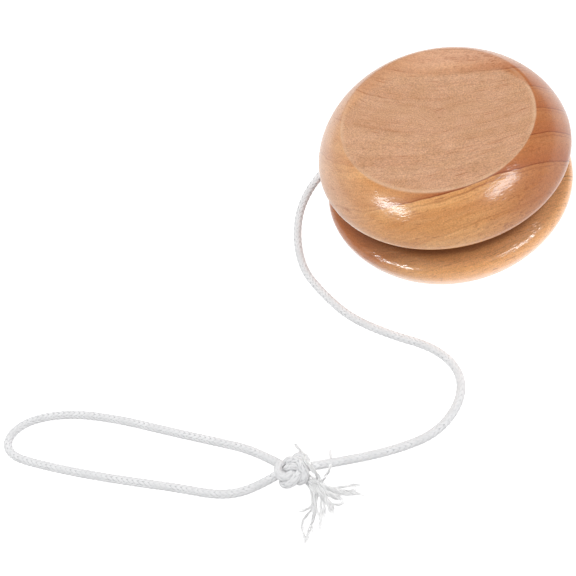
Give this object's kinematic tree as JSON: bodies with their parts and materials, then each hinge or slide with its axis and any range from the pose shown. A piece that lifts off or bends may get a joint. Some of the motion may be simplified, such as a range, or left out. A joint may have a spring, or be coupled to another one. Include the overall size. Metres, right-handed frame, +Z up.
{
  "type": "yo yo",
  "caption": "Turned wooden yo-yo on its flat face, halves glued to a dowel axle that spins in the looped end of a white braided cotton string with a knotted finger loop.",
  "frame": {"origin": "centre of the flat face that the yo-yo lies on", "axes": "+Z up along the spin axis; the string leaves the gap on the -X side and lies towards -Y"},
  "size_m": [0.1388, 0.1052, 0.032],
  "materials": {
    "lacquered_wood": "clear gloss lacquer on the rounded rims, sanded matte flat faces",
    "axle_wood": "bare hardwood dowel",
    "cotton_string": "braided white cotton cord, matte"
  },
  "bodies": {
    "yo_yo_body": {"upper_half": "lacquered_wood", "lower_half": "lacquered_wood", "axle": "axle_wood"},
    "string": {"axle_loop": "cotton_string", "string_winding": "cotton_string", "free_string": "cotton_string", "knot": "cotton_string", "finger_loop": "cotton_string", "frayed_tail": "cotton_string"}
  },
  "joints": [
    {"name": "spin", "type": "hinge", "parent": "yo_yo_body", "child": "string", "pos_m": [0, 0, 0.016], "axis": [0, 0, 1], "continuous": true}
  ]
}
